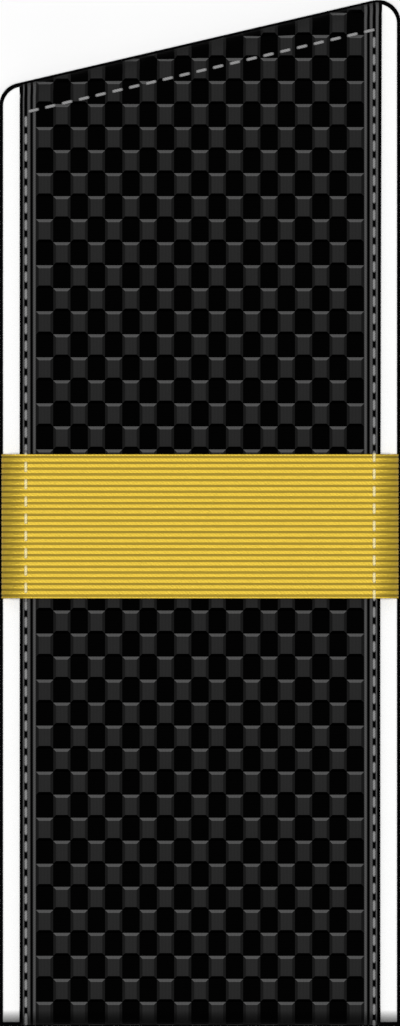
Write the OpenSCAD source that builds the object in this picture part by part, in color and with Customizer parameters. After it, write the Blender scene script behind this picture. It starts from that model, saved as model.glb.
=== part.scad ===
// A sewn-on shoulder board: a black backing, a white edged base, a black
// galloon field woven in raised checks, and a ribbed gold band across it.
// It lies flat on its backing, with +Y towards the slanted end and +Z up.
// Lengths are in millimetres and angles in degrees.

/* [Board] */
// Width of the board, over the backing
board_w = 50; // [44:0.5:60]
// Length of the board on its longer side
board_l = 128.25; // [110:0.25:160]
// Angle of the slanted end, rising towards +X
slant = 13.14; // [0:0.02:20]
// Radius of the two corners at the slanted end
corner_r = 2.8; // [1.6:0.1:5]
// Thickness of the backing cloth
backing_t = 1; // [1:0.1:2]
// Gap left between pieces that lie on each other
clearance = 0.1; // [0.05:0.01:0.15]

/* [Edging] */
// Thickness of the white cloth base
edging_t = 1.3; // [1:0.1:2]
// Backing that shows beside the base on the long sides
rim_side = 0.35; // [0.2:0.05:0.8]
// Backing that shows beyond the base at the slanted end
rim_top = 0.48; // [0.2:0.02:0.8]
// Backing that shows beyond the base at the lower end
rim_foot = 0.5; // [0.2:0.05:0.8]
// Rounding of the base's upper edge along the sides
edging_round = 0.5; // [0.2:0.1:0.9]
// Length over which the base rolls down at the lower end
edging_roll = 1.6; // [0.8:0.1:3]

/* [Field] */
// Width of white base that shows on each side of the field
edging_show = 2.15; // [1.5:0.05:4]
// Backing that shows beyond the field at the slanted end
field_rim_top = 0.24; // [0.16:0.02:0.6]
// Backing that shows beyond the field at the lower end
field_rim_foot = 0.14; // [0.1:0.02:0.6]
// Thickness of the galloon's ground
field_t = 1; // [1:0.1:1.5]
// Width of one woven check, adjusted so that whole columns fill the field
check_w = 2.15; // [1.5:0.05:4]
// Length of one woven check
check_l = 2.875; // [1.5:0.005:5]
// Height of the raised checks above the ground
relief = 0.3; // [0.1:0.05:0.5]
// Width of the sloping border of each raised check
bevel = 0.36; // [0.1:0.02:0.6]
// Ground left below the lowest row of checks
check_start = 0.25; // [0:0.05:1]
// Number of ribs in each selvedge
ribs = 3; // [1:1:5]
// Width of a selvedge rib
rib_w = 0.36; // [0.2:0.02:0.5]
// Spacing of the selvedge ribs
rib_pitch = 0.7; // [0.6:0.02:1]
// Height of the selvedge ribs above the ground
rib_h = 0.25; // [0.1:0.05:0.5]
// Plain ground outside the outermost rib
selvedge = 0.26; // [0.1:0.02:1]
// Length over which the galloon rolls down at the lower end
foot_roll = 2.25; // [1.8:0.05:4]
// Length over which it rolls down at the slanted end
top_roll = 1.8; // [1.8:0.05:4]

/* [Band] */
// Width of the gold band, along the board
band_w = 18; // [8:0.5:30]
// Distance from the lower end of the board to the band
band_up = 53.5; // [30:0.5:70]
// Thickness of the band
band_t = 1; // [1:0.1:1.5]
// Backing that shows beside the band
band_rim = 0.1; // [0.05:0.01:0.2]
// Width over which the band rolls down to each side
band_roll = 3.3; // [2.5:0.1:5]
// Height of that roll
band_drop = 2.2; // [1.8:0.1:3]
// Spacing of the grooves, adjusted so that whole ribs fill the band
groove_pitch = 0.72; // [0.5:0.02:1.5]
// Width of a groove
groove_w = 0.29; // [0.15:0.01:0.35]
// Depth of a groove
groove_d = 0.2; // [0.1:0.05:0.4]

/* [Hidden] */
// Steps in a corner of the outline and in a rolled edge
corner_steps = 12;
roll_steps = 6;
// Margin by which a cutting solid passes what it cuts
over = 1;
half_w = board_w / 2;
foot_y = -board_l / 2;
// Centre of the rounded corner that is the board's highest point
corner_x = half_w - corner_r;
corner_y = board_l / 2 - corner_r;

// The layers, from the surface that the board lies on upwards
edging_z = backing_t + clearance;
edging_top = edging_z + edging_t;
field_z = edging_top + clearance;
ground_z = field_z + field_t;
check_top = ground_z + relief;
rib_top = ground_z + rib_h;

// The galloon across the board: checks in the middle and ribs at both sides
field_half = half_w - rim_side - edging_show;
checks_half = field_half - selvedge - rib_w - (ribs - 1) * rib_pitch;
columns = 2 * round(checks_half / check_w - 0.5) + 1;
column_w = 2 * checks_half / columns;
rows = ceil(board_l / check_l);
// How far below the ground the raised checks and ribs are rooted
root = field_t / 2;

// The band, which clears the ribs, the field's edge and the base's waist
band_half = half_w - band_rim;
waist_half = band_half - band_t - clearance;
band_z = clearance + max(
    check_top + band_sag(checks_half),
    rib_top + band_sag(field_half - selvedge),
    ground_z + band_sag(field_half),
    edging_top + band_sag(waist_half)
);
board_h = band_z + band_t;
groove_count = round(band_w / groove_pitch);
groove_step = band_w / groove_count;

// Drop of the band's underside at a distance from the board's middle
function band_sag(x) =
    let (share = (x - band_half + band_roll) / (band_roll - band_t))
    share <= 0 ? 0 : (band_drop - band_t) * (1 - sqrt(1 - min(1, share) ^ 2));

function reversed(points) = [for (i = [len(points) - 1:-1:0]) points[i]];
function flipped(points) = [for (p = points) [-p[0], p[1]]];

// Points along an ellipse's arc with half-axes a and b, from one angle to another
function arc(centre, a, b, from, to, steps) =
    [for (i = [0:steps])
        let (turn = from + (to - from) * i / steps)
        centre + [a * cos(turn), b * sin(turn)]];

// The board's outline, drawn in at its sides, its slanted end and its foot
function outline(side, top, foot) =
    let (
        r = corner_r - top,
        x = corner_x + top - side,
        high = corner_y + (x - corner_x) * tan(slant),
        low = corner_y - (x + corner_x) * tan(slant)
    )
    concat(
        [[side - half_w, foot_y + foot], [half_w - side, foot_y + foot]],
        arc([x, high], r, r, 0, 90 + slant, corner_steps),
        arc([-x, low], r, r, 90 + slant, 180, corner_steps)
    );

// A layer's end seen from the side. The outer edge is at distance inset from
// the board's own edge, and rolls down from z1 to z0 over a length. A cutter's
// end goes straight on below that.
function rolled_end(inset, roll, z0, z1, below = 0) =
    concat(
        [[2 * board_l, z0 - below], [2 * board_l, z1]],
        arc([inset + roll, z0], roll, z1 - z0, 90, 180, roll_steps),
        below > 0 ? [[inset, z0 - below]] : []
    );

// The right half of the band's section, at a depth below its face
function band_side(depth, foot_z) =
    concat(
        arc([band_half - band_roll, board_h - band_drop], band_roll - depth, band_drop - depth,
            90, 0, roll_steps),
        [[band_half - depth, foot_z]]
    );

// The band's whole section between two depths below its face
function band_section(outer, inner, foot_z) =
    concat(
        band_side(outer, foot_z),
        reversed(band_side(inner, foot_z)),
        flipped(band_side(inner, foot_z)),
        reversed(flipped(band_side(outer, foot_z)))
    );

// A section in distance and height, carried along the board's lower end
module along_foot(points) {
    translate([-board_w, foot_y, 0])
        rotate([90, 0, 90])
            linear_extrude(2 * board_w)
                polygon(points);
}

// The same, carried along the slanted end
module along_top(points) {
    translate([corner_x, corner_y, 0])
        rotate([0, 0, slant])
            translate([board_w, corner_r, 0])
                rotate([90, 0, -90])
                    linear_extrude(3 * board_w)
                        polygon(points);
}

// A section in width and height, carried along the board between two places
module along_board(y0, y1, points) {
    translate([0, y1, 0])
        rotate([90, 0, 0])
            linear_extrude(y1 - y0)
                polygon(points);
}

module plate(side, top, foot, z0, z1) {
    translate([0, 0, z0])
        linear_extrude(z1 - z0)
            polygon(outline(side, top, foot));
}

// A block as long as the board, centred on its middle line
module strip(half, z0, z1) {
    translate([-half, -board_l, z0])
        cube([2 * half, 2 * board_l, z1 - z0]);
}

module backing() {
    color("#1b1b1d")
        plate(0, 0, 0, 0, backing_t);
}

// What lies between the galloon's two ends at a depth below its face, up to z1
module under_field(depth, z1, below = 0) {
    intersection() {
        along_foot(rolled_end(field_rim_foot + depth, foot_roll - depth, edging_z, z1, below));
        along_top(rolled_end(field_rim_top + depth, top_roll - depth, edging_z, z1, below));
    }
}

// The white base. Its upper edge is rounded, its foot rolls down, it has a
// waist where the band goes round it, and its ends are short under the field.
module edging() {
    side_x = half_w - rim_side;
    round_x = side_x - edging_round;
    round_z = edging_top - edging_round;
    color("#f4f4f1")
        difference() {
            intersection() {
                plate(rim_side, rim_top, rim_foot, edging_z, edging_top);
                along_foot(rolled_end(rim_foot, edging_roll, edging_z, edging_top));
                along_board(-board_l, board_l, concat(
                    [[-side_x, edging_z], [side_x, edging_z]],
                    arc([round_x, round_z], edging_round, edging_round, 0, 90, roll_steps),
                    arc([-round_x, round_z], edging_round, edging_round, 90, 180, roll_steps)
                ));
            }
            difference() {
                strip(field_half + clearance, edging_z - over / 2, edging_top + over);
                under_field(field_t + clearance, edging_top, over);
            }
            for (side = [-1, 1])
                translate([side * (waist_half + half_w / 2), foot_y + band_up + band_w / 2, edging_top])
                    cube([half_w, band_w + 2 * clearance, 4 * edging_t], center = true);
        }
}

// Ridges of every second check, lying along +Y from the origin
module ridges(first, last, pitch, length) {
    for (i = [first:2:last])
        translate([i * pitch, length, 0])
            rotate([90, 0, 0])
                linear_extrude(length)
                    polygon([
                        [0, ground_z - root], [pitch, ground_z - root], [pitch, ground_z],
                        [pitch - bevel, check_top], [bevel, check_top], [0, ground_z]
                    ]);
}

// The raised checks of the even columns and rows, or those of the odd ones
module checks(first) {
    start_y = foot_y + check_start;
    intersection() {
        translate([-checks_half, start_y, 0])
            ridges(first, columns - 1, column_w, rows * check_l);
        translate([checks_half, start_y, 0])
            rotate([0, 0, 90])
                ridges(first, rows - 1, check_l, 2 * checks_half);
    }
}

module selvedge_ribs() {
    for (side = [-1, 1])
        for (i = [0:ribs - 1])
            translate([side * (checks_half + rib_w / 2 + i * rib_pitch), 0, (ground_z - root + rib_top) / 2])
                cube([rib_w, 2 * board_l, rib_top - ground_z + root], center = true);
}

// The black galloon, with its raised weave, turned down over both ends
module field() {
    color("#26262a")
        difference() {
            intersection() {
                union() {
                    strip(field_half, edging_z, ground_z);
                    checks(0);
                    checks(1);
                    selvedge_ribs();
                }
                strip(field_half, edging_z, check_top);
                plate(rim_side, field_rim_top, field_rim_foot, edging_z, check_top);
                under_field(0, check_top);
            }
            under_field(field_t, field_z, over);
        }
}

// The gold band, rolled down over both sides, with grooves across its length
module band() {
    band_y = foot_y + band_up;
    color("#e8c846")
        difference() {
            along_board(band_y, band_y + band_w, band_section(0, band_t, edging_z));
            for (i = [0:groove_count - 1]) {
                middle = band_y + (i + 0.5) * groove_step;
                along_board(middle - groove_w / 2, middle + groove_w / 2,
                    band_section(-over, groove_d, edging_z - over));
            }
        }
}

backing();
edging();
field();
band();
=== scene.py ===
"""Dresses a sewn-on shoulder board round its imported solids: a black backing, a white
edged base, a black galloon woven in raised checks, a ribbed gold band and the stitching.
Lengths are millimetres until a mesh or a light is made. The board lies flat, +Y towards
its slanted end."""

import math

import bpy
import numpy as np
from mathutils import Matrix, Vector


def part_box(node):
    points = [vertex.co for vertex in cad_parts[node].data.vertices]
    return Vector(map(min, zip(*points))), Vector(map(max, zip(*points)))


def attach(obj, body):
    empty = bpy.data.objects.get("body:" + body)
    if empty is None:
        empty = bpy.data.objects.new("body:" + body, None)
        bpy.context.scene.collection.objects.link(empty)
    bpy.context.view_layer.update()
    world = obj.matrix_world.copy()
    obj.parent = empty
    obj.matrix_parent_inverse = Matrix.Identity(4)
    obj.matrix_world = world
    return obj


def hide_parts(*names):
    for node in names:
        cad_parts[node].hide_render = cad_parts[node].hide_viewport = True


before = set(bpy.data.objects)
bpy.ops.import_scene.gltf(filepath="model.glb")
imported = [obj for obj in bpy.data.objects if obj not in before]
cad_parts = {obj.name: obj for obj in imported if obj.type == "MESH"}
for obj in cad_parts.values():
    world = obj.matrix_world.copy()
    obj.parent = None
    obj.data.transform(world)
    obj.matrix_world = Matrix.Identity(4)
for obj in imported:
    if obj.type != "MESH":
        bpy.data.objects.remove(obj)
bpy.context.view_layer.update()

MM = 0.001


def corners(node):
    """Lowest and highest corner of a solid, in millimetres."""
    low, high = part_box(node)
    return np.array(low) / MM, np.array(high) / MM


# Places taken from the solids
BACKING_LOW, BACKING_HIGH = corners("backing")
EDGING_LOW, EDGING_HIGH = corners("edging")
FIELD_LOW, FIELD_HIGH = corners("field")
BAND_LOW, BAND_HIGH = corners("band")
HALF_W = BACKING_HIGH[0]
FOOT_Y = BACKING_LOW[1]
HEAD_Y = BACKING_HIGH[1]

# Gap between pieces that turn round each other
CLEARANCE = 0.1

# Outline
SLANT = math.radians(13.14)
CORNER_R = 2.8
CORNER_X = HALF_W - CORNER_R
CORNER_Y = HEAD_Y - CORNER_R
RIM_SIDE = HALF_W - EDGING_HIGH[0]
FIELD_RIM = 0.26

# Galloon field
RELIEF = 0.3
BEVEL = 0.36
CHECK_L = 2.8742
CHECK_START = 0.2
COLUMNS = 19
RIBS = 3
RIB_W = 0.39
OUTER_RIB_W = 0.19
OUTER_RIB_SHIFT = 0.05
RIB_PITCH = 0.7
RIB_H = 0.25
SELVEDGE = 0.23
FOOT_ROLL = 2.25
TOP_ROLL = 1.8
FIELD_HALF = FIELD_HIGH[0]
GROUND_Z = FIELD_HIGH[2] - RELIEF
FIELD_T = 1.0
CHECKS_HALF = FIELD_HALF - SELVEDGE - RIB_W - (RIBS - 1) * RIB_PITCH
COLUMN_W = 2 * CHECKS_HALF / COLUMNS
LATTICE_Y = FOOT_Y + CHECK_START

# Dome of a raised check's top, the seam round each check, and the width and sink of the plain edge
CROWN = 0.03
SEAM = 0.02
EDGE_DIP = 0.12

# How far the galloon's right edge strays at the higher corner, and where along the board it begins
EDGE_SPREAD = 0.2
SPREAD_START = -21.0

# Painted lightness of a raised check's borders against its top: a painted highlight at its head and
# painted shade down its sides
HEAD_HIGHLIGHT = 4.65
SIDE_SHADE = 0.54

# Where the painted shade at the foot is deepest, where it ends, and how fast it lifts
SHADE_START = 0.5
SHADE_STOP = 2.05
SHADE_CURVE = 1.75

# Shares of their colour that the white, the galloon and the thread keep under the painted shade at the
# foot
WHITE_FOOT = 0.24
GALLOON_FOOT = 0.25
THREAD_FOOT = 0.6

# White base
EDGING_SIDE_RIM = 0.39
EDGING_RIM = 0.5
EDGING_CORNER_R = 2.45
EDGING_ROUND = 0.3
EDGING_HEAD_ROUND = 0.3
EDGING_ROLL = 1.6
EDGING_GAP = 0.04

# Gold band
BAND_T = 1.0
BAND_SNUG = 0.1
BAND_SHIFT = -0.04
BAND_FOOT = BAND_LOW[1] + BAND_SHIFT
BAND_HEAD = BAND_HIGH[1] + BAND_SHIFT
BAND_ROLL = 3.3
BAND_DROP = 2.2
BAND_EDGE = 0.1
RIB_CROWN = 0.02
GOLD_THREAD = 0.17

# Grooves: half the width at which their sides fall, how squarely, and the share of their depth that
# is left where the band stands upright
GROOVE_STEP = 0.72
GROOVE_W = 0.27
GROOVE_D = 0.2
GROOVE_REACH = 0.42 * GROOVE_W
GROOVE_SQUARE = 8
GROOVE_LEFT = 0.25

# Painted shade where the band turns down: its wave on the ribs as a share of the turn, that wave's
# depth, and the grooves' painted shade
PAINTED_SHADE_WAVE = 0.72
RIB_PAINTED_SHADE = 0.11
GROOVE_PAINTED_SHADE = 0.42

# Stitching
THREAD = 0.4
PLY_TURN = 14.0
PLY_SWELL = 0.03
STITCH_L = 1.42
STITCH_PITCH = 2.1557
STITCH_X = 21.73
LEFT_FIRST_Y = 48.865
LEFT_STITCHES = 53
RIGHT_FIRST_Y = 58.755
RIGHT_STITCHES = 58
TOP_ROW_Y = 55.19
TOP_ROW_SLANT = math.atan(0.2369)
TOP_FIRST_X = -20.78
TOP_PITCH = 2.153
TOP_STITCHES = 21

# How high a thread's middle lies over its bed, and how far its ends dive from there
STITCH_LIE = 0.22 * THREAD
STITCH_DIVE = 0.3

# Height of the side rows' bed over the ground, and the painted light of the side rows and of the top
# row, which is painted lighter
SIDE_BED = 0.55 * RIB_H
SIDE_PAINTED_LIGHT = 1.05
TOP_PAINTED_LIGHT = 1.26

# The photo's frame, in pixels
FRAME_W = 400
FRAME_H = 1026


def slanted_end(x, side, top, r):
    """Height along Y of the slanted end at each x, for the outline drawn in by side and top, with
    corners of radius r.

    A straight line that touches two corner circles, and the circles beyond their points of touch."""
    cx = HALF_W - side - r
    offset = CORNER_Y + (CORNER_R - top - r) / math.cos(SLANT)
    high = offset + (cx - CORNER_X) * math.tan(SLANT)
    low = offset - (cx + CORNER_X) * math.tan(SLANT)
    line = offset + (x - CORNER_X) * math.tan(SLANT) + r / math.cos(SLANT)
    touch = r * math.sin(SLANT)
    right = high + np.sqrt(np.clip(r * r - (x - cx) ** 2, 0, None))
    left = low + np.sqrt(np.clip(r * r - (x + cx) ** 2, 0, None))
    return np.where(x > cx - touch, right, np.where(x < -cx - touch, left, line))


def outline_columns(side, r, extra):
    """Places across the board for a grid that follows both rounded corners, with extra ones between."""
    cx = HALF_W - side - r
    turn = np.linspace(0, 1, 13)
    left = -cx - r * np.cos(turn * (math.pi / 2 - SLANT))
    right = cx + r * np.sin(-SLANT + turn * (math.pi / 2 + SLANT))
    return np.unique(np.round(np.concatenate([left, right, extra]), 2))


def rounding(size, steps):
    """Distances of grid lines from an edge that is rounded by that size, the innermost line first."""
    return size * (1 - np.sin(np.linspace(0, math.pi / 2, steps)))


def quads(rows, columns, closed=False):
    """Faces of a grid of points kept row by row; closed joins its last column to its first."""
    index = np.arange(rows * columns).reshape(rows, columns)
    if closed:
        index = np.concatenate([index, index[:, :1]], axis=1)
    corner = [index[:-1, :-1], index[:-1, 1:], index[1:, 1:], index[1:, :-1]]
    return np.stack(corner, axis=-1).reshape(-1, 4)


def rim(rows, columns):
    """Indices round the edge of a grid, anticlockwise from its first point."""
    index = np.arange(rows * columns).reshape(rows, columns)
    return np.concatenate([index[0, :-1], index[:-1, -1], index[-1, :0:-1], index[:0:-1, 0]])


def creased(faces, height):
    """The same four-sided faces, each begun at the corner from which its fold climbs most."""
    first = abs(height[faces[:, 0]] - height[faces[:, 2]])
    second = abs(height[faces[:, 1]] - height[faces[:, 3]])
    return np.where((second > first)[:, None], np.roll(faces, 1, axis=1), faces)


def closed_slab(top, rings):
    """A closed solid: a grid of points as its upper face, walls through rings of points that each
    match the grid's rim, and one flat face across the last ring."""
    rows, columns = top.shape[:2]
    edge = rim(rows, columns)
    points = np.concatenate([top.reshape(-1, 3)] + rings)
    loops = [edge]
    for number in range(len(rings)):
        loops.append(rows * columns + number * len(edge) + np.arange(len(edge)))
    faces = [quads(rows, columns)]
    for upper, lower in zip(loops, loops[1:]):
        walls = [upper, lower, np.roll(lower, -1), np.roll(upper, -1)]
        faces.append(np.stack(walls, axis=-1))
    faces.append(loops[-1][::-1].reshape(1, -1))
    return points, faces


def welded(points, faces):
    """The points with coincident ones made one, the faces on them without the sides and faces that
    collapse, and which points stay."""
    _, stay, index = np.unique(points.round(4), axis=0, return_index=True, return_inverse=True)
    index = index.ravel()
    left = []
    for group in faces:
        corner = index[group]
        differs = corner != np.roll(corner, 1, axis=1)
        count = differs.sum(axis=1)
        for sides in np.unique(count[count > 2]):
            whole = count == sides
            left.append(corner[whole][differs[whole]].reshape(-1, sides))
    return points[stay], left, stay


def add_piece(name, points, faces, finish, stands_for=(), values=None, crease=40):
    """Makes a mesh of points in millimetres and lists of faces, and fixes it to the board."""
    points, faces, stay = welded(points, faces)
    mesh = bpy.data.meshes.new(name)
    mesh.vertices.add(len(points))
    mesh.vertices.foreach_set("co", (points * MM).astype(np.float32).ravel())
    corner = np.concatenate([group.ravel() for group in faces])
    sides = np.concatenate([np.full(len(group), group.shape[1]) for group in faces])
    mesh.loops.add(len(corner))
    mesh.loops.foreach_set("vertex_index", corner.astype(np.int32))
    mesh.polygons.add(len(sides))
    mesh.polygons.foreach_set("loop_start", (np.cumsum(sides) - sides).astype(np.int32))
    mesh.update(calc_edges=True)
    mesh.validate()
    mesh.polygons.foreach_set("use_smooth", np.ones(len(mesh.polygons), bool))
    mesh.set_sharp_from_angle(angle=math.radians(crease))
    for key, value in (values or {}).items():
        store = mesh.attributes.new(key, "FLOAT", "POINT")
        store.data.foreach_set("value", np.asarray(value, np.float32).ravel()[stay])
    mesh.materials.append(finish)
    piece = bpy.data.objects.new(name, mesh)
    bpy.context.scene.collection.objects.link(piece)
    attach(piece, "root")
    if stands_for:
        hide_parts(*stands_for)
    return piece


def linear(red, green, blue):
    """A colour as it looks on a screen, 0 to 255, as the light it stands for."""
    share = np.array([red, green, blue]) / 255
    light = np.where(share <= 0.04045, share / 12.92, ((share + 0.055) / 1.055) ** 2.4)
    return (*[float(x) for x in light], 1.0)


class Level:
    """A number that varies over a surface. Arithmetic on it adds Math nodes."""

    def __init__(self, finish, socket):
        self.finish = finish
        self.socket = socket

    def maths(self, operation, *others):
        return self.finish.maths(operation, self, *others)

    def __add__(self, other):
        return self.maths("ADD", other)

    __radd__ = __add__

    def __mul__(self, other):
        return self.maths("MULTIPLY", other)

    __rmul__ = __mul__

    def __sub__(self, other):
        return self.maths("SUBTRACT", other)

    def __rsub__(self, other):
        return self.finish.maths("SUBTRACT", other, self)

    def __truediv__(self, other):
        return self.maths("DIVIDE", other)

    def __pow__(self, other):
        return self.maths("POWER", other)

    def __abs__(self):
        return self.maths("ABSOLUTE")

    def rise(self, start, length):
        """0 up to a start, 1 a length after it, and a straight climb between."""
        return self.finish.span(self, start, start + length)

    def spacing(self, pitch):
        """Distance to the nearest of a set of places a pitch apart, one of them at 0."""
        return (self / pitch).maths("PINGPONG", 0.5) * pitch


class Finish:
    """A material under construction, on one Principled shader."""

    def __init__(self, name, constants):
        self.material = bpy.data.materials.new(name)
        self.material.use_nodes = True
        self.tree = self.material.node_tree
        self.shader = next(n for n in self.tree.nodes if n.type == "BSDF_PRINCIPLED")
        for socket, value in constants.items():
            self.shader.inputs[socket].default_value = value
        place = self.add("ShaderNodeTexCoord").outputs["Object"]
        scaled = self.add("ShaderNodeVectorMath", {"operation": "SCALE"}, {0: place, "Scale": 1 / MM})
        self.place = scaled.outputs[0]
        apart = self.add("ShaderNodeSeparateXYZ", {}, {0: self.place})
        self.x, self.y, self.z = (Level(self, socket) for socket in apart.outputs)

    def add(self, kind, settings=None, sockets=None):
        """A node of that kind, with its settings, and values or links for its sockets."""
        node = self.tree.nodes.new(kind)
        for key, value in (settings or {}).items():
            setattr(node, key, value)
        for key, value in (sockets or {}).items():
            source = value.socket if isinstance(value, Level) else value
            if isinstance(source, bpy.types.NodeSocket):
                self.tree.links.new(source, node.inputs[key])
            else:
                node.inputs[key].default_value = source
        return node

    def maths(self, operation, *numbers):
        node = self.add("ShaderNodeMath", {"operation": operation}, dict(enumerate(numbers)))
        return Level(self, node.outputs[0])

    def span(self, number, low, high):
        """How far a number is from low to high, from 0 to 1."""
        node = self.add("ShaderNodeMapRange", {}, {"Value": number, "From Min": low, "From Max": high})
        return Level(self, node.outputs[0])

    def attribute(self, name):
        node = self.add("ShaderNodeAttribute", {"attribute_name": name})
        return Level(self, node.outputs["Fac"])

    def noise(self, size, detail=2.0):
        """Smooth noise about a half, with features of that size in millimetres."""
        sockets = {"Vector": self.place, "Scale": 1 / size, "Detail": detail}
        return Level(self, self.add("ShaderNodeTexNoise", {}, sockets).outputs["Fac"])

    def scatter(self, number):
        """A fixed random number from 0 to 1 for each whole number."""
        node = self.add("ShaderNodeTexWhiteNoise", {"noise_dimensions": "1D"}, {"W": number})
        return Level(self, node.outputs["Value"])

    def threads(self, across, pitch):
        """Round threads side by side: 0 between two threads, 1 along the middle of each."""
        return abs((across * (math.pi / pitch)).maths("SINE"))

    def blend(self, share, first, second):
        """A colour between two others."""
        node = self.add("ShaderNodeMix", {"data_type": "RGBA"}, {0: share, 6: first, 7: second})
        return node.outputs[2]

    def shade(self, colour, amount):
        """A colour made lighter or darker by a number."""
        light = colour[:3] if isinstance(colour, tuple) else colour
        node = self.add("ShaderNodeVectorMath", {"operation": "SCALE"}, {0: light, "Scale": amount})
        return node.outputs[0]

    def wear(self, socket, value):
        source = value.socket if isinstance(value, Level) else value
        self.tree.links.new(source, self.shader.inputs[socket])

    def emboss(self, height):
        """Bump from a height in millimetres."""
        node = self.add("ShaderNodeBump", {}, {"Height": height, "Distance": MM, "Strength": 1.0})
        self.wear("Normal", node.outputs[0])


def foot_shade(finish, colour, least):
    """A colour darkened by painted shade, down to a least share, where the cloth turns down at the
    board's foot.
    """
    inwards = finish.span(finish.y, FOOT_Y + SHADE_START, FOOT_Y + SHADE_STOP)
    return finish.shade(colour, least + (1 - least) * inwards**SHADE_CURVE)


def backing_cloth():
    """Black felted cloth: a fine nap over a faint twill, rubbed paler on the underside."""
    finish = Finish("backing_cloth", {"Roughness": 0.95, "Specular IOR Level": 0.01})
    nap = finish.noise(0.25, 4.0)
    twill = finish.threads(finish.x + finish.y, 0.6)
    worn = finish.noise(9.0, 2.0)
    uneven = nap * 0.6 + worn * 0.4
    fresh = finish.blend(uneven, linear(1, 1, 1), linear(6, 6, 7))
    rubbed = finish.blend(uneven, linear(10, 10, 11), linear(40, 40, 42))
    under = (0.5 - finish.z).rise(0, 0.45)
    finish.wear("Base Color", finish.blend(under, fresh, rubbed))
    finish.emboss(nap * 0.06 + twill * 0.012)
    return finish.material


def edging_cloth():
    """White felted cloth, with a soft nap and the slight unevenness of milled wool."""
    finish = Finish("edging_cloth", {"Roughness": 0.85, "Specular IOR Level": 0.2})
    nap = finish.noise(0.22, 4.0)
    cloudy = finish.noise(3.0, 2.0)
    white = finish.blend(nap * 0.7 + cloudy * 0.3, linear(248, 248, 247), linear(255, 255, 255))
    finish.wear("Base Color", foot_shade(finish, white, WHITE_FOOT))
    finish.emboss(nap * 0.05)
    return finish.material


def field_galloon():
    """Black galloon. Each raised check is a patch of floats that run along the board: grey on top,
    with a painted highlight on its border at the head, painted shade down its sides and painted dark
    at its foot. Painted shade darkens all of it in a narrow strip just inside the slanted end."""
    finish = Finish("field_galloon", {"Specular IOR Level": 0.005})
    x = finish.attribute("weave_x")
    y = finish.attribute("weave_y")
    across = x + CHECKS_HALF
    along = y - LATTICE_Y
    soft = 0.04

    column = (across / COLUMN_W).maths("FLOOR")
    row = (along / CHECK_L).maths("FLOOR")
    checked = (CHECKS_HALF - abs(x)).rise(-soft / 2, soft)
    raised = checked * (1 - (column + row).maths("FLOORED_MODULO", 2))
    in_side = across.spacing(COLUMN_W)
    in_end = along.spacing(CHECK_L)
    top = in_side.maths("MINIMUM", in_end).rise(BEVEL - soft / 2, soft)
    # Painted light on the borders: a painted highlight at each check's head, painted shade down its
    # sides, and painted dark at its foot
    by_side = (in_end - in_side).rise(-soft / 2, soft)
    by_head = (along / CHECK_L).maths("FRACT").maths("GREATER_THAN", 0.5)
    slope = by_side * SIDE_SHADE + (1 - by_side) * by_head * HEAD_HIGHLIGHT
    bevel_painted_light = top + (1 - top) * slope

    outer = abs(x).maths("GREATER_THAN", STITCH_X)
    half_rib = RIB_W / 2 - outer * (RIB_W - OUTER_RIB_W) / 2
    off_rib = abs(x) + outer * OUTER_RIB_SHIFT - CHECKS_HALF - RIB_W / 2
    off_rib = off_rib.spacing(RIB_PITCH)
    rib = (half_rib - off_rib).rise(-soft / 2, soft) * (1 - checked)
    rib = rib * (FIELD_HALF - SELVEDGE / 2 - abs(x)).maths("GREATER_THAN", 0)

    floats = finish.threads(across, COLUMN_W / 12)
    weft = finish.threads(along, CHECK_L / 16)
    twist = finish.threads(y + abs(x) * 0.6, 0.3)
    fibre = finish.noise(0.12, 3.0)
    patch = finish.scatter(column + row * COLUMNS)
    check = finish.shade(linear(39, 39, 39), bevel_painted_light * (0.76 + floats * 0.26 + fibre * 0.1 + patch * 0.06))
    ground = finish.shade(linear(2, 2, 2), 0.5 + weft * 0.7)
    cord = finish.shade(linear(80, 80, 80), 0.8 + outer * 0.2 + twist * 0.25 + fibre * 0.1)
    colour = finish.blend(rib, finish.blend(raised, ground, check), cord)
    # Painted shade in a narrow strip just inside the slanted end
    end_at_middle = CORNER_Y - CORNER_X * math.tan(SLANT) + CORNER_R / math.cos(SLANT)
    inwards = (end_at_middle - finish.y + finish.x * math.tan(SLANT)) * math.cos(SLANT)
    head_shade = 0.5 + 0.5 * inwards.rise(FIELD_RIM, 0.4)
    finish.wear("Base Color", finish.shade(foot_shade(finish, colour, GALLOON_FOOT), head_shade))
    finish.wear("Roughness", 0.62 - raised * 0.14 + fibre * 0.08)
    woven_bump = raised * floats * 0.03 + (1 - raised) * weft * 0.03
    finish.emboss(woven_bump * (1 - rib) + rib * twist * 0.03 + fibre * 0.01)
    return finish.material


def in_groove(finish):
    """1 down in a groove of the gold band, 0 on its ribs."""
    soft = 0.06
    off = (finish.y - BAND_FOOT).spacing(GROOVE_STEP)
    return (off - (GROOVE_STEP - GROOVE_W) / 2).rise(-soft / 2, soft)


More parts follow.
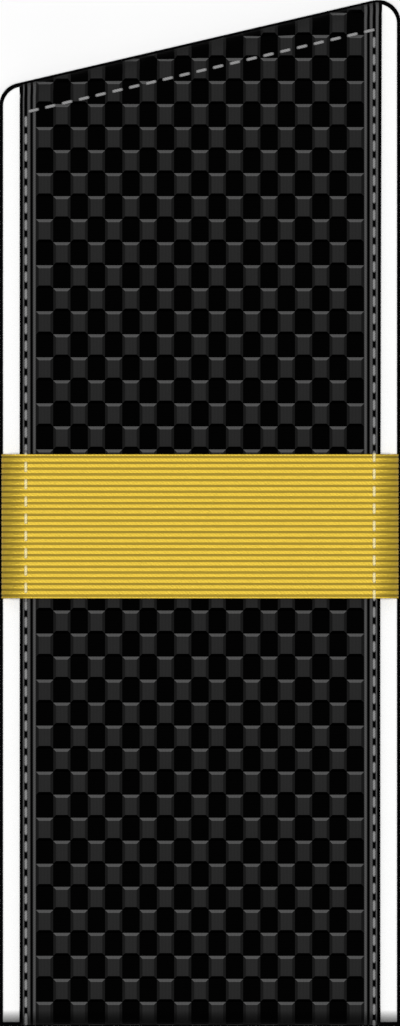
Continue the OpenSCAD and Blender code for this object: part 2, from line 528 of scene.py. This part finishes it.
def gold_galloon():
    """Ribbed gold galloon: fine metal thread wound at a slant over each cord, dull down in the
    grooves, whose darker colour is partly painted shade. Where the band turns down at its sides, the
    light alone would darken the ribs unevenly. A wave of painted shade in their colour evens that
    out, and painted shade darkens the grooves steadily."""
    constants = {"Specular IOR Level": 0.15, "Specular Tint": linear(225, 185, 60)}
    finish = Finish("gold_galloon", constants)
    across = finish.attribute("across")
    groove = in_groove(finish)
    lay = across + finish.y * 0.4
    thread = finish.threads(lay, GOLD_THREAD)
    each = finish.scatter((lay / GOLD_THREAD).maths("FLOOR"))
    fibre = finish.noise(0.1, 2.0)
    # Painted shade where the band turns down: a wave on the ribs and a steady darkening of the grooves
    turned = abs(finish.x).rise(BAND_HIGH[0] - BAND_ROLL, BAND_ROLL)
    painted_shade_dip = 1 - (turned * (2 * math.pi / PAINTED_SHADE_WAVE)).maths("COSINE")
    wound = 0.84 + thread * 0.14 + each * 0.12
    gold = finish.shade(linear(208, 177, 62), wound * (1 - painted_shade_dip * RIB_PAINTED_SHADE))
    # The grooves' colour is darker than the ribs', partly as painted shade in the recess, and darkens
    # further by painted shade over the turn
    groove_colour_and_shade = finish.shade(linear(173, 150, 58), (0.86 + thread * 0.15) * (1 - turned**0.7 * GROOVE_PAINTED_SHADE))
    finish.wear("Base Color", finish.blend(groove, gold, groove_colour_and_shade))
    finish.wear("Metallic", 0.5 - groove * 0.3)
    finish.wear("Roughness", 0.36 + each * 0.1 + groove * 0.25)
    finish.emboss(thread * 0.022 + fibre * 0.004)
    return finish.material


def stitching_thread():
    """Two-ply sewing thread: grey over the black galloon, cream where it crosses the gold, and
    darker by painted shade where it dips over a groove. Each row carries its own painted light."""
    finish = Finish("stitching_thread", {"Roughness": 0.7, "Specular IOR Level": 0.1})
    gold = finish.attribute("on_gold")
    # The row's painted light
    light = finish.attribute("light")
    turn = finish.attribute("along") * PLY_TURN
    cosines = finish.attribute("round_cos") * turn.maths("COSINE")
    sines = finish.attribute("round_sin") * turn.maths("SINE")
    ply = ((cosines + sines) * 0.5 + 0.5) ** 0.6
    fibre = finish.noise(0.08, 3.0)
    thread = finish.blend(gold, linear(134, 134, 134), linear(248, 232, 168))
    # Painted shade where the thread dips over a groove of the gold band
    painted_shade_dip = 1 - gold * in_groove(finish) * 0.24
    shaded = finish.shade(thread, light * painted_shade_dip * (0.72 + ply * 0.26 + fibre * 0.1))
    finish.wear("Base Color", foot_shade(finish, shaded, THREAD_FOOT))
    finish.emboss(ply * 0.03 + fibre * 0.01)
    return finish.material


def make_backing():
    """The backing: a flat grid inside the outline, with a small round over its upper and lower edge.
    Its cut sides spread a little beyond the outline, as pressed felt does."""
    side_steps = np.linspace(-HALF_W, HALF_W, 21)
    along = np.linspace(0, 1, 41)
    thickness = BACKING_HIGH[2]
    soft = 0.1
    spread = 0.07
    end_spread = 0.015

    def level(inset):
        """The outline's grid, drawn in by an inset and let out by the spread."""
        x = outline_columns(0, CORNER_R, side_steps) * (1 - inset / HALF_W)
        drawn_in = (inset - end_spread) / math.cos(SLANT)
        head = slanted_end(x * HALF_W / (HALF_W - inset), 0, 0, CORNER_R) - drawn_in
        foot = np.full_like(x, FOOT_Y + inset - spread)
        x = x * (1 + spread / HALF_W)
        y = foot + along[:, None] * (head - foot)
        return np.stack([np.broadcast_to(x, y.shape), y], axis=-1)

    def ring(inset, z):
        """The edge of such a grid at a height."""
        flat = level(inset)
        edge = flat.reshape(-1, 2)[rim(*flat.shape[:2])]
        return np.column_stack([edge, np.full(len(edge), z)])

    flat = level(soft)
    top = np.concatenate([flat, np.full((*flat.shape[:2], 1), thickness)], axis=-1)
    turn = np.radians([30, 60, 90])
    rings = [ring(soft * (1 - math.sin(a)), thickness - soft * (1 - math.cos(a))) for a in turn]
    rings += [ring(soft * (1 - math.sin(a)), soft * (1 - math.cos(a))) for a in turn[::-1]]
    rings.append(ring(soft, 0))
    points, faces = closed_slab(top, rings)
    piece = add_piece("backing_cloth", points, faces, backing_cloth(), ["backing"])


def make_edging():
    """The white base, as a height over the board: full thickness inside, falling in a quarter of an
    ellipse over each long side, over the foot and over the slanted end. Where two of these falls
    meet, the drop is the root of their squares added. The base is drawn in sideways where the band
    goes round it, and its ends stop short where the galloon turns down over them."""
    x1 = HALF_W - EDGING_SIDE_RIM
    outline = (EDGING_SIDE_RIM, EDGING_RIM, EDGING_CORNER_R)
    low, high = EDGING_LOW[2], EDGING_HIGH[2]
    turn_in = FIELD_T + CLEARANCE
    shoulder = FIELD_HALF + EDGING_GAP
    right_shoulder = shoulder + EDGE_SPREAD
    beside = np.array([-0.02, 0.02])
    strip = np.linspace(0.8, 2.0, 4)
    inside = np.concatenate([rounding(EDGING_ROUND, 7), strip, x1 - shoulder + beside])
    middle = np.linspace(-19, 19, 9)
    places = np.concatenate([x1 - inside, inside - x1, middle, right_shoulder + beside])
    x = outline_columns(EDGING_SIDE_RIM, EDGING_CORNER_R, places)

    foot = np.where(abs(x) < shoulder, FIELD_LOW[1] + turn_in, EDGING_LOW[1])
    short_head = slanted_end(x, RIM_SIDE, FIELD_RIM, CORNER_R - FIELD_RIM) - turn_in / math.cos(SLANT)
    head = np.where((x > -shoulder) & (x < right_shoulder), short_head, slanted_end(x, *outline))
    row_step = 1.5
    gap = 0.03
    borders = [BAND_FOOT - gap, BAND_FOOT + gap, BAND_HEAD - gap, BAND_HEAD + gap]
    start = FIELD_LOW[1] + turn_in + EDGING_ROLL
    stop = slanted_end(-x1 + 0.01, *outline) - turn_in - 1.0
    between = np.sort(np.concatenate([np.arange(start + row_step, stop, row_step), borders]))
    last = np.linspace(0, 1, 11)[:-1]
    y = np.concatenate([
        foot + rounding(EDGING_ROLL, 9)[::-1, None],
        np.broadcast_to(between[:, None], (len(between), len(x))),
        stop + last[:, None] * (head - EDGING_HEAD_ROUND - stop),
        head - rounding(EDGING_HEAD_ROUND, 6)[:, None],
    ])
    band_inside = BAND_HIGH[0] - BAND_SNUG - BAND_T
    waist = (band_inside - CLEARANCE / 2 - shoulder) / (x1 - shoulder)
    banded = (y > BAND_FOOT) & (y < BAND_HEAD) & (abs(x) > shoulder)
    x_all = np.broadcast_to(x, y.shape)
    x_all = np.where(banded, np.sign(x_all) * (shoulder + (abs(x_all) - shoulder) * waist), x_all)

    def fall(distance, length, depth):
        """Drop at a distance inside an edge that rolls down by a depth over a length."""
        share = np.clip(1 - distance / length, 0, 1)
        return depth * (1 - np.sqrt(1 - share**2))

    at_side = fall(x1 - abs(x), EDGING_ROUND, EDGING_ROUND)
    at_foot = fall(y - foot, EDGING_ROLL, high - low)
    at_head = fall((head - y) * math.cos(SLANT), EDGING_HEAD_ROUND, EDGING_HEAD_ROUND)
    drop = np.sqrt(at_side**2 + at_foot**2 + at_head**2)
    z = high - np.minimum(drop, high - low)
    uneven = 0.02 * np.sin(y * 0.9 + x * 0.7) * np.sin(y * 0.37 - x * 1.3)
    z = z + uneven * (z > high - 0.2)
    top = np.stack([x_all, y, z], axis=-1)
    edge = top.reshape(-1, 3)[rim(*y.shape)]
    lower = edge.copy()
    lower[:, 2] = low
    middle_ring = edge.copy()
    middle_ring[:, 2] = (edge[:, 2] + low) / 2
    points, faces = closed_slab(top, [middle_ring, lower])
    piece = add_piece("edging_cloth", points, faces, edging_cloth(), ["edging"])


def check_lines(pitch):
    """Grid lines within one check, close together along its sloping border."""
    beside = 0.05
    near = np.array([0, beside, BEVEL - beside, BEVEL + beside])
    middle = np.linspace(near[-1], pitch - near[-1], 4)[1:-1]
    return np.concatenate([near, middle, pitch - near[:0:-1]])


def rib_centres():
    """Distances of the selvedge ribs from the middle of the board."""
    centres = CHECKS_HALF + RIB_W / 2 + np.arange(RIBS) * RIB_PITCH
    centres[-1] -= OUTER_RIB_SHIFT
    return centres


def rib_widths():
    """Widths of the ribs, of which the outermost is narrower."""
    return np.where(np.arange(RIBS) < RIBS - 1, RIB_W, OUTER_RIB_W)


def woven(x, y):
    """Height of the weave over the ground.

    A raised check is a flat top, slightly crowned, whose four borders slope down to the ground.
    A rib is half of an ellipse across the board. The outermost ground sinks a little."""
    across = (x + CHECKS_HALF) / COLUMN_W
    along = (y - LATTICE_Y) / CHECK_L
    column = np.floor(across + 1e-6)
    row = np.floor(along + 1e-6)
    u = (across - column) * COLUMN_W
    v = (along - row) * CHECK_L
    border = np.minimum(np.minimum(u, COLUMN_W - u), np.minimum(v, CHECK_L - v))
    raised = ((column + row) % 2 == 0) & (abs(x) < CHECKS_HALF) & (border > SEAM)
    crown = 1 - (2 * u / COLUMN_W - 1) ** 2 * 0.5 - (2 * v / CHECK_L - 1) ** 2 * 0.5
    slope = np.clip(border / BEVEL, 0, 1)
    height = raised * slope * (RELIEF - CROWN + CROWN * crown)
    for centre, width in zip(rib_centres(), rib_widths()):
        share = np.clip(1 - ((abs(x) - centre) / (width / 2)) ** 2, 0, None)
        height = height + RIB_H * np.sqrt(share)
    edge = np.clip((abs(x) - FIELD_HALF) / EDGE_DIP + 1, 0, 1)
    return height - EDGE_DIP * edge**2


def edge_spread(x, y):
    """How far the galloon's right edge strays outwards on its way to the higher corner, which widens
    its outermost rib."""
    along = np.clip((y - SPREAD_START) / (HEAD_Y - SPREAD_START), 0, 1)
    across = np.clip((x - rib_centres()[-1]) / (OUTER_RIB_W / 2), 0, 1)
    return EDGE_SPREAD * along**1.5 * across


def make_field():
    """The galloon, as a grid that runs up from its turned-down foot, along the board and down over
    the slanted end. Both turns are a quarter of an ellipse that the checks' tops lie on. The rest of
    the weave is sunk below it, along its normal, and less and less as it turns down."""
    rib_lines = np.array([-1, -0.83, -0.4, 0, 0.4, 0.83, 1]) / 2
    ribs = (rib_centres()[:, None] + rib_widths()[:, None] * rib_lines).ravel()
    outer = np.concatenate([ribs, FIELD_HALF - EDGE_DIP * np.array([1, 1 / 2, 1 / 6, 0])])
    checks = (-CHECKS_HALF + np.arange(COLUMNS)[:, None] * COLUMN_W + check_lines(COLUMN_W)).ravel()
    x = np.unique(np.round(np.concatenate([-outer, checks, outer]), 3))

    low = EDGING_LOW[2]
    drop = FIELD_HIGH[2] - low
    edge_y = slanted_end(x, RIM_SIDE, FIELD_RIM, CORNER_R - FIELD_RIM)
    start = FIELD_LOW[1] + FOOT_ROLL
    stop = edge_y - TOP_ROLL / math.cos(SLANT)
    rows = np.arange(math.ceil((HEAD_Y - LATTICE_Y) / CHECK_L))
    lattice = (LATTICE_Y + rows[:, None] * CHECK_L + check_lines(CHECK_L)).ravel()
    lattice = lattice[(lattice > start + SEAM) & (lattice < stop.max())]

    foot_turn = np.linspace(math.pi / 2, 0, 17)[:, None]
    top_rows = 16
    below = (lattice[:, None] < stop - SEAM).sum(axis=0)
    number = np.arange(len(lattice) + top_rows)[:, None]
    turning = number >= below
    turn = np.where(turning, (number - below) / (len(lattice) + top_rows - 1 - below), 0) * math.pi / 2
    padded = np.concatenate([lattice, np.full(top_rows, lattice[-1])])[:, None]
    over_top = edge_y - TOP_ROLL * (1 - np.sin(turn)) / math.cos(SLANT)
    over_foot = FIELD_LOW[1] + FOOT_ROLL * (1 - np.sin(foot_turn))

    y = np.concatenate([over_foot * np.ones_like(x), np.where(turning, over_top, padded)])
    angle = np.concatenate([-foot_turn * np.ones_like(x), turn * np.ones_like(x)])
    x_all = np.broadcast_to(x, y.shape)
    sunk = (RELIEF - woven(x_all, y)) * np.cos(angle) ** 2
    reach = np.where(angle < 0, FOOT_ROLL, TOP_ROLL)
    lean = np.arctan2(np.sin(abs(angle)) / reach, np.cos(angle) / drop)
    slip = sunk * np.sin(lean)
    y_all = y - np.where(angle < 0, -1, math.cos(SLANT)) * slip
    x_slid = x_all + np.where(angle > 0, math.sin(SLANT), 0) * slip
    z = low + drop * np.cos(angle) - sunk * np.cos(lean)
    height = woven(x_all, y)
    x_top = np.clip(x_slid, -FIELD_HALF, FIELD_HALF) + edge_spread(x_all, y)
    top = np.stack([x_top, y_all, z], axis=-1)

    edge = top.reshape(-1, 3)[rim(*y.shape)]
    floor_z = GROUND_Z - FIELD_T
    inner_head = np.interp(edge[:, 0], x, edge_y) - FIELD_T / math.cos(SLANT)
    inner_y = np.clip(edge[:, 1], FIELD_LOW[1] + FIELD_T, inner_head)
    under_lip = edge.copy()
    under_lip[:, 1] = inner_y
    under_lip[:, 2] = np.where(edge[:, 2] < floor_z, edge[:, 2], (edge[:, 2] + floor_z) / 2)
    under = under_lip.copy()
    under[:, 2] = floor_z
    points, faces = closed_slab(top, [under_lip, under])
    faces[0] = creased(faces[0], height.ravel())
    around = rim(*y.shape)
    values = {
        "weave_x": np.concatenate([x_all.ravel(), x_all.ravel()[around], x_all.ravel()[around]]),
        "weave_y": np.concatenate([y.ravel(), y.ravel()[around], y.ravel()[around]]),
    }
    piece = add_piece("field_galloon", points, faces, field_galloon(),
                      ["field"], values, crease=55)


def band_path():
    """The band's section from one foot over the board to the other: an upright stretch, a quarter of
    an ellipse, a flat top, and the same again. Gives places, outward normals and lengths along it."""
    top, half = BAND_HIGH[2], BAND_HIGH[0] - BAND_SNUG
    upright = np.linspace(BAND_LOW[2], top - BAND_DROP, 7)[:-1]
    turn = np.linspace(0, math.pi / 2, 19)
    flat = np.linspace(half - BAND_ROLL, 0, 24)[1:]
    x = np.concatenate([
        np.full(len(upright), half),
        half - BAND_ROLL + BAND_ROLL * np.cos(turn),
        flat,
    ])
    z = np.concatenate([
        upright,
        top - BAND_DROP + BAND_DROP * np.sin(turn),
        np.full(len(flat), top),
    ])
    normal_x = np.concatenate([np.ones(len(upright)), np.cos(turn) / BAND_ROLL, np.zeros(len(flat))])
    normal_z = np.concatenate([np.zeros(len(upright)), np.sin(turn) / BAND_DROP, np.ones(len(flat))])
    size = np.hypot(normal_x, normal_z)
    place = np.column_stack([np.append(x, -x[-2::-1]), np.append(z, z[-2::-1])])
    normal = np.column_stack([
        np.append(normal_x / size, -(normal_x / size)[-2::-1]),
        np.append(normal_z / size, (normal_z / size)[-2::-1]),
    ])
    steps = np.hypot(*np.diff(place, axis=0).T)
    return place, normal, np.append(0, np.cumsum(steps))


def make_band():
    """The gold band: a closed profile of ribs and grooves in Y and depth, carried along its section.
    The grooves grow shallower as the section turns down at each side."""
    low, high = BAND_FOOT, BAND_HEAD
    count = round((high - low) / GROOVE_STEP)
    step = (high - low) / count
    middles = low + (np.arange(count) + 0.5) * step
    half_lines = np.array([0.12, 0.16, 0.19, 0.22, 0.26, 0.36])
    lines = step * np.concatenate([[-0.5], -half_lines[::-1], [0], half_lines])
    y = np.append((middles[:, None] + lines).ravel(), high)
    off = abs((y - low) / step % 1 - 0.5) * step
    groove = GROOVE_D * np.exp(-((off / GROOVE_REACH) ** GROOVE_SQUARE))
    crown = RIB_CROWN * (2 * off / step) ** 4
    y = np.clip(y, low + RIB_CROWN, high - RIB_CROWN)
    lip, edge = 0.12, BAND_EDGE
    ends = np.array([[high, lip], [high, BAND_T / 2], [high, BAND_T - edge], [high - edge, BAND_T]])
    back = np.array([[low + edge, BAND_T], [low, BAND_T - edge], [low, BAND_T / 2], [low, lip]])
    profile_y = np.concatenate([y, ends[:, 0], back[:, 0]])
    profile_d = np.concatenate([crown, ends[:, 1], back[:, 1]])
    grooved = np.concatenate([groove, np.zeros(len(ends) + len(back))])

    place, normal, length = band_path()
    profile_d = profile_d + grooved * (GROOVE_LEFT + (1 - GROOVE_LEFT) * normal[:, 1:] ** 2)
    x = place[:, :1] - normal[:, :1] * profile_d
    z = place[:, 1:] - normal[:, 1:] * profile_d
    grid = np.stack([x, np.broadcast_to(profile_y, x.shape), z], axis=-1)
    rows, columns = x.shape
    faces = [quads(rows, columns, closed=True)]
    faces.append(np.arange(columns)[::-1].reshape(1, -1))
    faces.append((rows * columns - columns + np.arange(columns)).reshape(1, -1))
    values = {"across": np.broadcast_to(length[:, None], x.shape)}
    piece = add_piece("band_galloon", grid.reshape(-1, 3), faces, gold_galloon(),
                      ["band"], values, crease=55)
    (high - low) * MM


def thread_bed(x, y, relief):
    """Height of what the stitches lie on: a relief over the galloon's ground, which rolls down at
    its foot, or the band where it crosses them, with a short climb on to it."""
    ramp = 0.3
    climb = np.minimum((y - BAND_FOOT + ramp) / ramp, (BAND_HEAD + ramp - y) / ramp)
    climb = np.clip(climb, 0, 1)
    climb = climb * climb * (3 - 2 * climb)
    out = np.clip((abs(x) - BAND_HIGH[0] + BAND_ROLL) / BAND_ROLL, 0, 1)
    gold_z = BAND_HIGH[2] - BAND_DROP * (1 - np.sqrt(1 - out**2))
    turned = np.clip((FIELD_LOW[1] + FOOT_ROLL - y) / FOOT_ROLL, 0, 1)
    drop = (GROUND_Z - EDGING_LOW[2]) * (1 - np.sqrt(1 - turned**2))
    black_z = GROUND_Z + relief - drop
    return black_z + (gold_z - black_z) * climb


def make_stitches(name, centres, heading, relief, light):
    """A row of stitches. Each is a two-ply thread: a round section that swells twice round it, turns
    along it and narrows at both ends, rising out of the cloth, lying on it and going down again. The
    section stands square to what the thread lies on."""
    along = np.sin(np.linspace(-1, 1, 21) * math.pi / 2)
    round_steps = 10
    angle = np.arange(round_steps) * 2 * math.pi / round_steps
    heading = np.array([math.cos(heading), math.sin(heading), 0])
    sideways = np.array([-heading[1], heading[0], 0])
    end = centres + heading[:2] * STITCH_L / 2
    start = centres - heading[:2] * STITCH_L / 2
    lowest = FIELD_LOW[1] + 0.05
    start[:, 1] = np.maximum(start[:, 1], lowest)
    flat = start[:, None, :] + (end - start)[:, None, :] * ((along + 1) / 2)[:, None]
    bed = thread_bed(flat[..., 0], flat[..., 1], relief)
    path = np.concatenate([flat, bed[..., None]], axis=-1)
    course = np.gradient(path, axis=1)
    course = course / np.linalg.norm(course, axis=-1, keepdims=True)
    upright = np.cross(course, sideways)
    bend = abs(along) ** 8
    spine = path + (STITCH_LIE - STITCH_DIVE * bend)[:, None] * upright
    taper = np.sqrt(1.02 - bend)
    ply = np.cos(2 * angle - (along * PLY_TURN)[:, None])
    radius = THREAD / 2 * taper[:, None] * (1 + PLY_SWELL * (ply - 1))
    points = (
        spine[:, :, None, :]
        + (radius * np.cos(angle))[..., None] * sideways
        + (radius * np.sin(angle))[..., None] * upright[:, :, None, :]
    )
    on_gold = (points[..., 1] > BAND_FOOT) & (points[..., 1] < BAND_HEAD)
    count, rows = spine.shape[:2]
    one = quads(rows, round_steps, closed=True)
    size = rows * round_steps
    first = np.arange(count)[:, None, None] * size
    near_cap = np.arange(round_steps)[::-1] + first
    far_cap = size - round_steps + np.arange(round_steps) + first
    caps = [cap.reshape(-1, round_steps) for cap in (near_cap, far_cap)]
    faces = [(one + first).reshape(-1, 4), *caps]
    values = {
        "on_gold": on_gold,
        "along": np.broadcast_to(along[:, None], points.shape[:3]),
        "round_cos": np.broadcast_to(np.cos(2 * angle), points.shape[:3]),
        "round_sin": np.broadcast_to(np.sin(2 * angle), points.shape[:3]),
        # Painted light of the row
        "light": np.full(points.shape[:3], light),
    }
    add_piece(name, points.reshape(-1, 3), faces, STITCHING, (), values, crease=60)


def side_row(side, first_y, count):
    """Centres of the stitches along one long side, from the slanted end down."""
    y = first_y - np.arange(count) * STITCH_PITCH
    return np.column_stack([np.full(count, side * STITCH_X), y])


def top_row():
    """Centres of the stitches along the slanted end, in a straight line just inside it."""
    x = TOP_FIRST_X + np.arange(TOP_STITCHES) * TOP_PITCH * math.cos(TOP_ROW_SLANT)
    return np.column_stack([x, TOP_ROW_Y + x * math.tan(TOP_ROW_SLANT)])


def floor_finish():
    """Pale matt card, faintly mottled."""
    finish = Finish("floor_card", {"Roughness": 0.9, "Specular IOR Level": 0.1})
    mottle = finish.noise(30.0, 2.0)
    finish.wear("Base Color", finish.blend(mottle, linear(246, 246, 246), linear(250, 250, 250)))
    return finish.material


def make_floor():
    """A wide flat sheet that the board lies on."""
    reach = 3000
    side = np.linspace(-reach, reach, 5)
    x, y = np.meshgrid(side, side)
    points = np.stack([x, y, np.zeros_like(x)], axis=-1).reshape(-1, 3)
    mesh = bpy.data.meshes.new("floor")
    mesh.from_pydata((points * MM).tolist(), [], quads(5, 5).tolist())
    mesh.materials.append(floor_finish())
    floor = bpy.data.objects.new("floor", mesh)
    bpy.context.scene.collection.objects.link(floor)


def softbox(name, place, aim, width, height, power):
    """A rectangular light at a place, turned towards another, in millimetres and watts."""
    light = bpy.data.lights.new(name, "AREA")
    light.shape = "RECTANGLE"
    light.size = width * MM
    light.size_y = height * MM
    light.energy = power
    lamp = bpy.data.objects.new(name, light)
    lamp.location = Vector(place) * MM
    lamp.rotation_euler = (Vector(aim) - Vector(place)).to_track_quat("-Z", "Y").to_euler()
    bpy.context.scene.collection.objects.link(lamp)


def make_lights():
    """A soft key from beyond the slanted end, a wide overhead light and a pale room."""
    softbox("key", (-150, 650, 1000), (0, 0, 0), 700, 500, 0.9)
    softbox("overhead", (0, -10, 1500), (0, 0, 0), 400, 400, 18.3)
    world = bpy.data.worlds.new("studio")
    world.use_nodes = True
    sky = world.node_tree.nodes["Background"]
    sky.inputs["Color"].default_value = (1, 1, 1, 1)
    sky.inputs["Strength"].default_value = 0.2
    bpy.context.scene.world = world


def make_camera():
    """Straight above the board, square on, with a long lens whose frame is the board's own box."""
    camera = bpy.data.cameras.new("camera")
    camera.lens = 600
    camera.sensor_width = 36
    tall = 2 * HALF_W * FRAME_H / FRAME_W
    distance = camera.lens / camera.sensor_width * tall + BACKING_HIGH[2]
    camera.clip_start = 0.01
    camera.clip_end = 20
    eye = bpy.data.objects.new("camera", camera)
    eye.location = Vector((0, 0, distance)) * MM
    bpy.context.scene.collection.objects.link(eye)
    bpy.context.scene.camera = eye


make_camera()
STITCHING = stitching_thread()
make_backing()
make_edging()
make_field()
make_band()
left_row = side_row(-1, LEFT_FIRST_Y, LEFT_STITCHES)
right_row = side_row(1, RIGHT_FIRST_Y, RIGHT_STITCHES)
make_stitches("stitching_left", left_row, math.pi / 2, SIDE_BED, SIDE_PAINTED_LIGHT)
make_stitches("stitching_right", right_row, math.pi / 2, SIDE_BED, SIDE_PAINTED_LIGHT)
make_stitches("stitching_top", top_row(), TOP_ROW_SLANT, RELIEF, TOP_PAINTED_LIGHT)
make_floor()
make_lights()
bpy.context.scene.view_settings.view_transform = "Standard"
